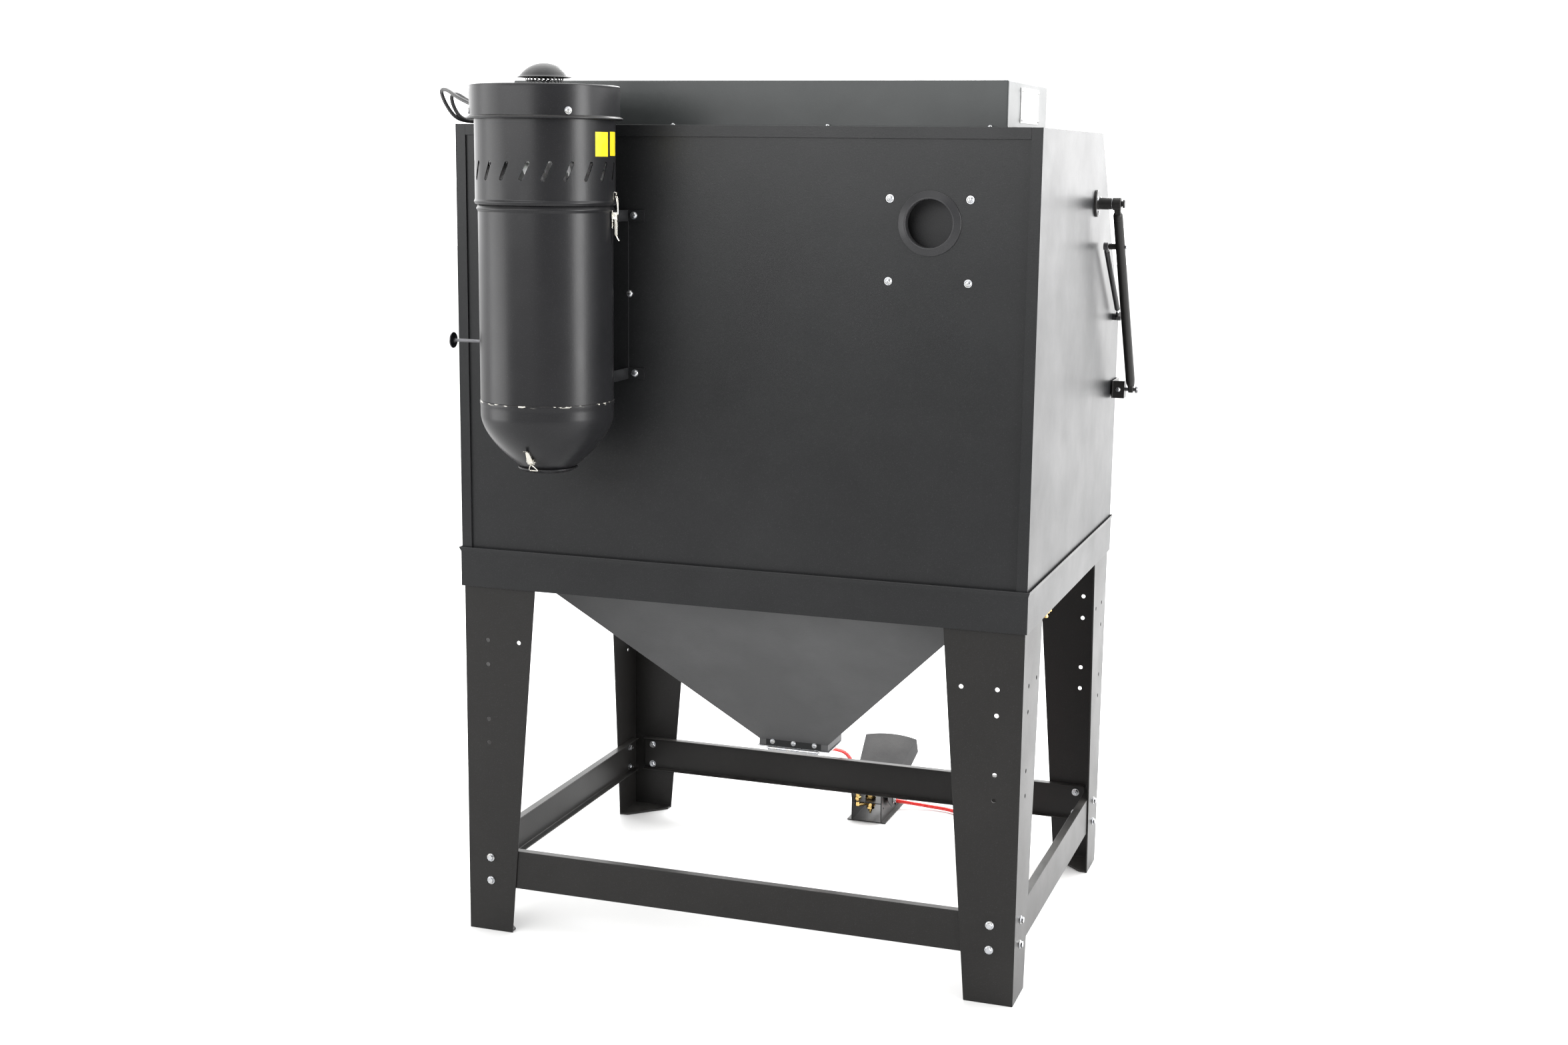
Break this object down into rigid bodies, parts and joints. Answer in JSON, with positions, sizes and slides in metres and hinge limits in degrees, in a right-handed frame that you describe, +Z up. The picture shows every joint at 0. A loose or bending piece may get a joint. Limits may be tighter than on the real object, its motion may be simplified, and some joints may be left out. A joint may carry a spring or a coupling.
{
  "type": "abrasive blasting cabinet",
  "caption": "Free-standing sheet-metal abrasive blasting cabinet with a lift-up front lid, top light box, hopper on four braced legs, rear dust collector drum and a foot pedal on red hoses.",
  "frame": {"origin": "on the floor, under the middle of the whole object's bounding box", "axes": "+Z up; -Y faces the operator, towards the lid, the gloves and the pedal; +Y towards the dust collector at the back; +X is the operator's right"},
  "size_m": [1.3446, 1.5348, 1.849],
  "materials": {
    "coating": "black textured powder coat",
    "zinc_plate": "zinc plated",
    "grate_steel": "plain worn steel",
    "window_glass": "clear",
    "lamp_glass": "white frosted tube",
    "switch_plastic": "black moulded",
    "handle_plastic": "black moulded",
    "strut_chrome": "polished rod",
    "strut_paint": "black satin paint",
    "collar_plastic": "black moulded",
    "glove_rubber": "black rubber",
    "gun_alloy": "cast alloy",
    "motor_metal": "cast alloy",
    "filter_paper": "pleated filter paper",
    "shaker_steel": "blackened steel",
    "latch_zinc": "bright zinc plated",
    "brass": "machined",
    "red_hose": "red polyurethane",
    "cable_black": "black sheath",
    "gun_hose_rubber": "black rubber"
  },
  "bodies": {
    "cabinet": {"side_panel_left": "coating", "side_panel_right": "coating", "top_panel": "coating", "back_panel": "coating", "front_panel": "coating", "base_rim": "coating", "hopper": "coating", "port_collar": "coating", "light_box": "coating", "pivot_flange_left": "coating", "pivot_flange_right": "coating", "collector_body": "coating", "collector_head": "coating", "collector_cap": "coating", "collector_cone": "coating", "collector_bracket": "coating", "leg_back_left": "coating", "leg_back_right": "coating", "leg_front_left": "coating", "leg_front_right": "coating", "brace_back": "coating", "brace_front": "coating", "brace_left": "coating", "brace_right": "coating", "pedal_base": "coating", "exhaust_vent": "coating", "work_grate": "grate_steel", "light_window": "window_glass", "light_tube": "lamp_glass", "glove_collar_left": "collar_plastic", "glove_left": "glove_rubber", "glove_collar_right": "collar_plastic", "glove_right": "glove_rubber", "blast_gun": "gun_alloy", "fan_motor": "motor_metal", "filter_cartridge": "filter_paper", "pedal_valve": "brass", "pedal_hose": "red_hose", "supply_hose": "red_hose", "motor_cable": "cable_black", "mains_cable": "cable_black", "gun_hose": "gun_hose_rubber"},
    "lid": {"front_lid": "coating", "lid_glass": "window_glass", "lid_handle": "handle_plastic", "lift_arm_left": "coating", "lift_arm_right": "coating"},
    "strut_rod_l": {"strut_rod_left": "strut_chrome"},
    "strut_rod_r": {"strut_rod_right": "strut_chrome"},
    "strut_barrel_l": {"strut_barrel_left": "strut_paint"},
    "strut_barrel_r": {"strut_barrel_right": "strut_paint"},
    "trap": {"trap_door": "zinc_plate"},
    "ash_lid": {"collector_lid": "coating"},
    "shaker": {"shaker_rod": "shaker_steel"},
    "pedal_plate": {"treadle": "coating"},
    "plunger": {"valve_plunger": "brass"},
    "latch_side": {"side_latch": "latch_zinc"},
    "latch_bottom": {"bottom_latch": "latch_zinc"},
    "rocker_light": {"rocker_switch_light": "switch_plastic"},
    "rocker_dust": {"rocker_switch_dust": "switch_plastic"}
  },
  "joints": [
    {"name": "lid_hinge", "type": "hinge", "parent": "cabinet", "child": "lid", "pos_m": [0, -0.1135, 1.588], "axis": [-1, 0, 0], "range_deg": [0, 50]},
    {"name": "strut_turn_left", "type": "hinge", "parent": "cabinet", "child": "strut_rod_l", "pos_m": [-0.624, -0.385, 1.328], "axis": [1, 0, 0], "range_deg": [0, 18.7]},
    {"name": "strut_slide_left", "type": "slide", "parent": "strut_rod_l", "child": "strut_barrel_l", "axis": [0, 0.7784, 0.6278], "range_m": [0, 0.03]},
    {"name": "strut_turn_right", "type": "hinge", "parent": "cabinet", "child": "strut_rod_r", "pos_m": [0.624, -0.385, 1.328], "axis": [1, 0, 0], "range_deg": [0, 18.7]},
    {"name": "strut_slide_right", "type": "slide", "parent": "strut_rod_r", "child": "strut_barrel_r", "axis": [0, 0.7784, 0.6278], "range_m": [0, 0.03]},
    {"name": "trap_hinge", "type": "hinge", "parent": "cabinet", "child": "trap", "pos_m": [0, 0.054, 0.355], "axis": [1, 0, 0], "range_deg": [0, 90]},
    {"name": "collector_lid_hinge", "type": "hinge", "parent": "cabinet", "child": "ash_lid", "pos_m": [0.3353, 0.5521, 1.0635], "axis": [-1, 0, 0], "range_deg": [0, 90]},
    {"name": "shaker_pull", "type": "slide", "parent": "cabinet", "child": "shaker", "axis": [1, 0, 0], "range_m": [0, 0.02], "stiffness_N_per_m": 200},
    {"name": "treadle_press", "type": "hinge", "parent": "cabinet", "child": "pedal_plate", "pos_m": [-0.006, -0.605, 0.042], "axis": [1, 0, 0], "range_deg": [0, 12], "stiffness_Nm_per_rad": 8, "springref_deg": -8.59},
    {"name": "plunger_lift", "type": "slide", "parent": "cabinet", "child": "plunger", "axis": [0, 0, 1], "range_m": [0, 0.0085]},
    {"name": "side_latch_turn", "type": "hinge", "parent": "cabinet", "child": "latch_side", "pos_m": [0.19693, 0.5912, 1.562], "axis": [-0.1736, 0.9848, 0], "range_deg": [0, 60]},
    {"name": "bottom_latch_turn", "type": "hinge", "parent": "cabinet", "child": "latch_bottom", "pos_m": [0.33243, 0.6978, 1.0848], "axis": [-0.9994, -0.0349, 0], "range_deg": [0, 40]},
    {"name": "rocker_light_tip", "type": "hinge", "parent": "cabinet", "child": "rocker_light", "pos_m": [0.5206, 0.23, 1.785], "axis": [0, 1, 0], "range_deg": [0, 12]},
    {"name": "rocker_dust_tip", "type": "hinge", "parent": "cabinet", "child": "rocker_dust", "pos_m": [0.5206, 0.29, 1.785], "axis": [0, 1, 0], "range_deg": [0, 12]}
  ],
  "couplings": [
    {"joint": "strut_turn_left", "follows": "lid_hinge", "ratio": 0.372},
    {"joint": "strut_slide_left", "follows": "lid_hinge", "m_per_rad": 0.034},
    {"joint": "strut_turn_right", "follows": "lid_hinge", "ratio": 0.372},
    {"joint": "strut_slide_right", "follows": "lid_hinge", "m_per_rad": 0.034},
    {"joint": "plunger_lift", "follows": "treadle_press", "m_per_rad": 0.0385}
  ]
}
